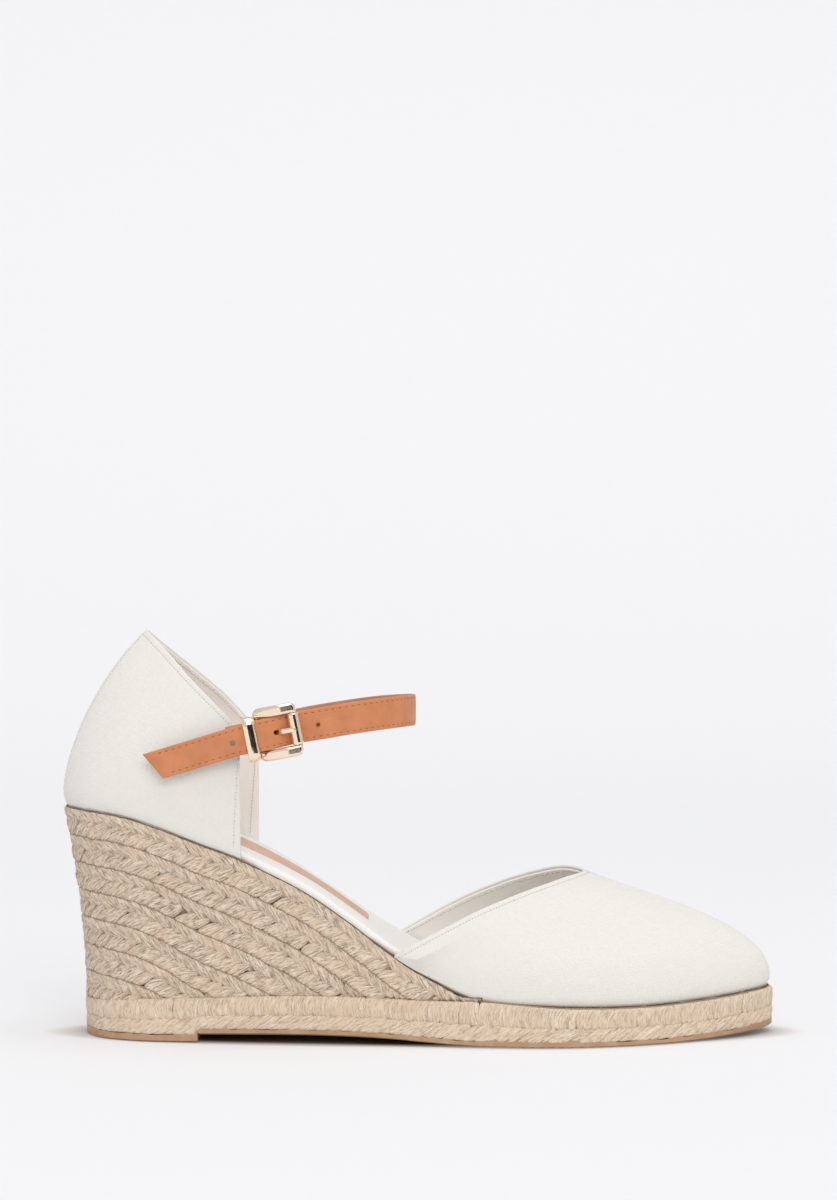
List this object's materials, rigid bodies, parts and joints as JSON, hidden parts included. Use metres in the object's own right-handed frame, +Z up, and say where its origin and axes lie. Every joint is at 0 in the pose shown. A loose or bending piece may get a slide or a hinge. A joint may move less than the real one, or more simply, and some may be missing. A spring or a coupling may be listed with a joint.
{
  "type": "wedge sandal",
  "caption": "Closed-toe canvas wedge sandal with a jute-braided heel, a rope welt and a leather ankle strap on a roller buckle, right foot.",
  "frame": {"origin": "middle of the underside of the heel pad, where the shoe's heel rests on the floor", "axes": "+X from heel to toe, +Y towards the inner side of the foot, +Z up"},
  "size_m": [0.241, 0.0827, 0.137],
  "materials": {
    "canvas": "plain weave cotton canvas, matte",
    "lining": "smooth textile lining, matte",
    "stiffener": "thermoplastic stiffener sheet",
    "jute": "natural jute fibre, braided",
    "core": "light foamed core",
    "rubber": "tan moulded rubber, matte",
    "board": "cellulose insole board",
    "foam": "soft insole foam",
    "steel": "spring steel strip",
    "sock_leather": "smooth tan leather",
    "strap_leather": "smooth tan leather, stitched",
    "strap_lining": "pinkish tan lining leather",
    "gold_metal": "polished pale gold plating"
  },
  "bodies": {
    "shoe": {"heel_pad": "rubber", "outsole": "rubber", "midsole_core": "core", "rope_welt_lower": "jute", "rope_welt_upper": "jute", "wedge_core": "core", "wedge_braid_1": "jute", "wedge_braid_2": "jute", "wedge_braid_3": "jute", "wedge_braid_4": "jute", "wedge_braid_5": "jute", "wedge_braid_6": "jute", "wedge_braid_7": "jute", "shank": "steel", "insole_board": "board", "insole_foam": "foam", "insole_cover": "canvas", "heel_sock": "sock_leather", "vamp_canvas": "canvas", "toe_puff": "stiffener", "vamp_lining": "lining", "quarter_outer_side": "canvas", "quarter_inner_side": "canvas", "heel_counter": "stiffener", "quarter_lining": "lining"},
    "strap_loop": {"buckle_tab": "strap_leather", "ankle_strap": "strap_leather", "strap_lining": "strap_lining", "strap_keeper": "gold_metal", "buckle_frame": "gold_metal"},
    "prong": {"buckle_prong": "gold_metal"},
    "roller": {"buckle_roller": "gold_metal"}
  },
  "joints": [
    {"name": "strap_swing", "type": "hinge", "parent": "shoe", "child": "strap_loop", "pos_m": [0.03992, -0.0269, 0.10266], "axis": [0.0592, 0.9981, -0.0191], "range_deg": [-20, 25]},
    {"name": "prong_pivot", "type": "hinge", "parent": "strap_loop", "child": "prong", "pos_m": [0.0411, -0.0285, 0.1029], "axis": [-0.1994, 0, 0.9799], "range_deg": [-8, 0]},
    {"name": "roller_spin", "type": "hinge", "parent": "strap_loop", "child": "roller", "pos_m": [0.05247, -0.0319, 0.10521], "axis": [-0.1994, 0, 0.9799], "continuous": true}
  ]
}
